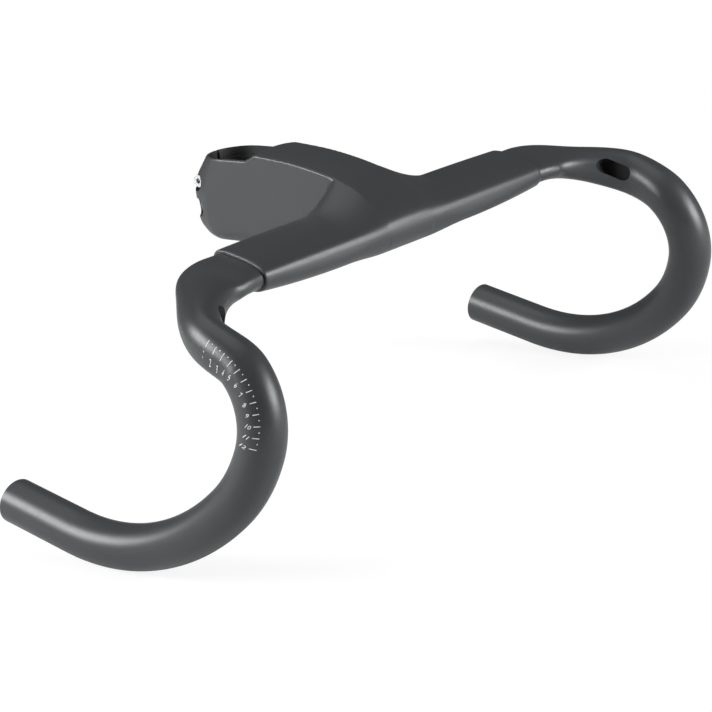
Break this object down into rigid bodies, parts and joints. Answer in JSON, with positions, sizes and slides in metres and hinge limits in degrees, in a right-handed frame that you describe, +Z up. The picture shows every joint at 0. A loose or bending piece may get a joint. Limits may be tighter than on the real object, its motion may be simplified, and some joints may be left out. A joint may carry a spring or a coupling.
{
  "type": "integrated handlebar stem",
  "caption": "One-piece drop handlebar and stem for a road bicycle, with a steerer clamp and hose ports.",
  "frame": {"origin": "on the steerer's axis, at the underside of the steerer clamp", "axes": "+Z up along the steerer, +Y forwards to the front wheel, +X to the rider's right"},
  "size_m": [0.3982, 0.2186, 0.1694],
  "materials": {
    "carbon": "matte",
    "steel": "satin",
    "insert_metal": "satin"
  },
  "bodies": {
    "root": {"bar_stem_shell": "carbon", "upper_clamp_bolt": "steel", "upper_bolt_washer": "steel", "upper_threaded_insert": "insert_metal", "lower_clamp_bolt": "steel", "lower_bolt_washer": "steel", "lower_threaded_insert": "insert_metal", "right_accessory_insert": "insert_metal", "left_accessory_insert": "insert_metal"}
  },
  "joints": []
}
